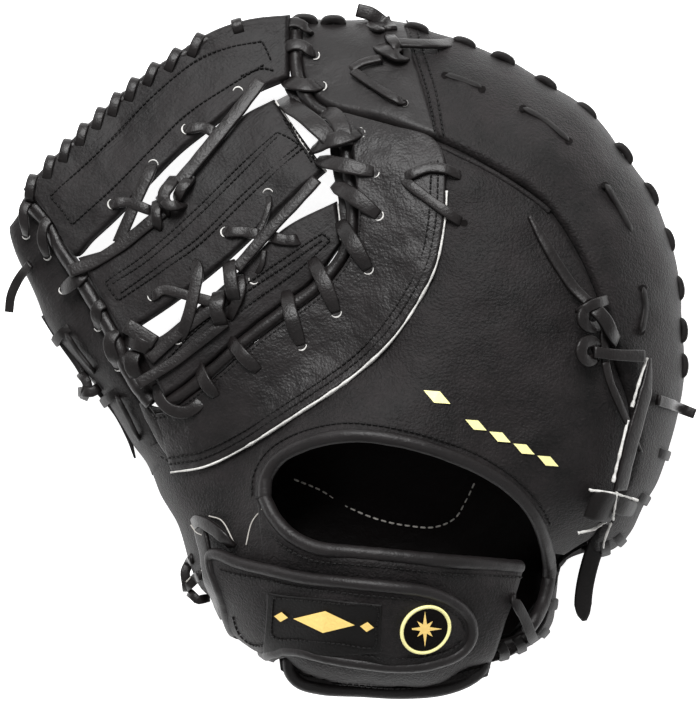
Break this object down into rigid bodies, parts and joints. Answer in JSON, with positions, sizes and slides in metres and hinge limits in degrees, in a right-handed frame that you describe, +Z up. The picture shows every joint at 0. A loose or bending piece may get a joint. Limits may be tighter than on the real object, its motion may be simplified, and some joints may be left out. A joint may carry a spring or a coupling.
{
  "type": "first baseman mitt",
  "caption": "Padded leather baseball mitt for the first base, laced web, open back with wrist strap, lying palm down.",
  "frame": {"origin": "middle of the mitt's bounding box in plan, on the surface it lies on", "axes": "+X from the web to the little finger, +Y from the wrist to the fingertips, +Z up out of the back of the hand"},
  "size_m": [0.3155, 0.312, 0.1048],
  "materials": {
    "leather": "matte",
    "glossy_leather": "satin",
    "lining": "matte",
    "lace": "satin",
    "gold_thread": "satin"
  },
  "bodies": {
    "root": {"palm_shell": "leather", "finger_band": "leather", "back_panel": "leather", "wrist_band": "leather", "thumb_base": "leather", "heel_panel": "leather", "web_outer_bar": "leather", "web_middle_bar": "leather", "web_inner_bar": "leather", "wrist_strap": "leather", "strap_patch": "leather", "fingertip_panel": "glossy_leather", "thumb_panel": "glossy_leather", "thumb_crescent": "glossy_leather", "opening_binding": "glossy_leather", "opening_lower_binding": "glossy_leather", "wrist_band_binding": "glossy_leather", "strap_binding": "glossy_leather", "palm_lining": "lining", "strap_badge": "gold_thread", "lace_finger_side": "lace", "lace_thumb_side": "lace", "web_edge_lacing": "lace", "rim_lacing_fingers": "lace", "rim_lacing_thumb": "lace", "finger_lace_1": "lace", "finger_lace_2": "lace", "finger_lace_3": "lace", "finger_lace_4": "lace", "crease_lace": "lace", "fingertip_tie": "lace", "fingertip_tail": "lace", "wrist_side_lace": "lace", "web_lace_upper": "lace", "web_lace_lower": "lace", "web_stub_upper": "lace", "web_stub_middle": "lace", "web_stub_inner": "lace", "web_stub_lower": "lace", "side_lace": "lace", "side_strip_narrow": "lace", "side_strip": "lace", "side_wrap": "lace", "side_tail": "lace", "side_lace_tail": "lace", "thumb_outer_lace": "lace", "thumb_wrap": "lace", "thumb_wrap_loop": "lace"}
  },
  "joints": []
}
